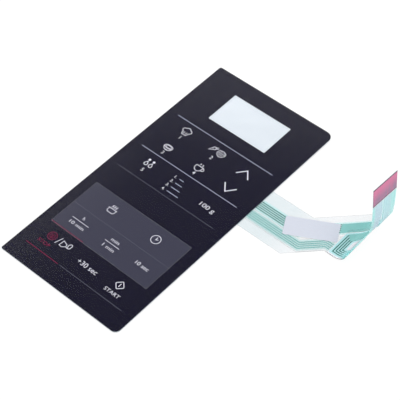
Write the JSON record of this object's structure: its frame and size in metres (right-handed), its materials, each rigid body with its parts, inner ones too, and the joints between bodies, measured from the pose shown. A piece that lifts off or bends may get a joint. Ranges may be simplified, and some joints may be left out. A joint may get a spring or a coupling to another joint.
{
  "type": "touch control panel",
  "caption": "Flat membrane key panel with a display window, printed key field and a folded, curled circuit tail that ends on a stiffener.",
  "frame": {"origin": "centre of the panel's rear face, on the release liner's underside", "axes": "+Z out of the printed face, +Y towards the display window, +X towards the tail"},
  "size_m": [0.1718, 0.2094, 0.0456],
  "materials": {
    "liner_paper": "pale blue-white release liner, satin",
    "clear_adhesive": "clear pressure-sensitive adhesive",
    "circuit_film": "clear circuit film, slightly hazy",
    "spacer_film": "clear spacer film",
    "face_film": "clear face film with a fine matte texture",
    "dark_ink": "dark blue-black screen print",
    "grey_ink": "dark grey screen print",
    "pale_blue_ink": "pale blue-grey print",
    "grey_blue_ink": "faint grey-blue print",
    "red_ink": "dark red print",
    "silver_track": "conductive print seen through green insulation",
    "mint_insulation": "mint green printed insulation",
    "pink_stiffener": "translucent pink film",
    "blank_label": "blank white film label"
  },
  "bodies": {
    "root": {"column_conductor_1": "silver_track", "column_conductor_2": "silver_track", "column_conductor_3": "silver_track", "column_conductor_4": "silver_track", "dark_ink": "dark_ink", "face_adhesive": "clear_adhesive", "face_film": "face_film", "field_rule": "grey_blue_ink", "key_field_ink": "grey_ink", "lower_circuit_film": "circuit_film", "lower_insulation": "mint_insulation", "rear_adhesive": "clear_adhesive", "red_rule_foot": "red_ink", "red_rule_top": "red_ink", "release_liner": "liner_paper", "row_conductor_1": "silver_track", "row_conductor_2": "silver_track", "row_conductor_3": "silver_track", "row_conductor_4": "silver_track", "row_conductor_5": "silver_track", "rule_1": "pale_blue_ink", "rule_2": "pale_blue_ink", "rule_3": "pale_blue_ink", "rule_foot": "grey_blue_ink", "spacer": "spacer_film", "tail_label": "blank_label", "tail_stiffener": "pink_stiffener", "upper_circuit_film": "circuit_film", "upper_insulation": "mint_insulation"}
  },
  "joints": []
}
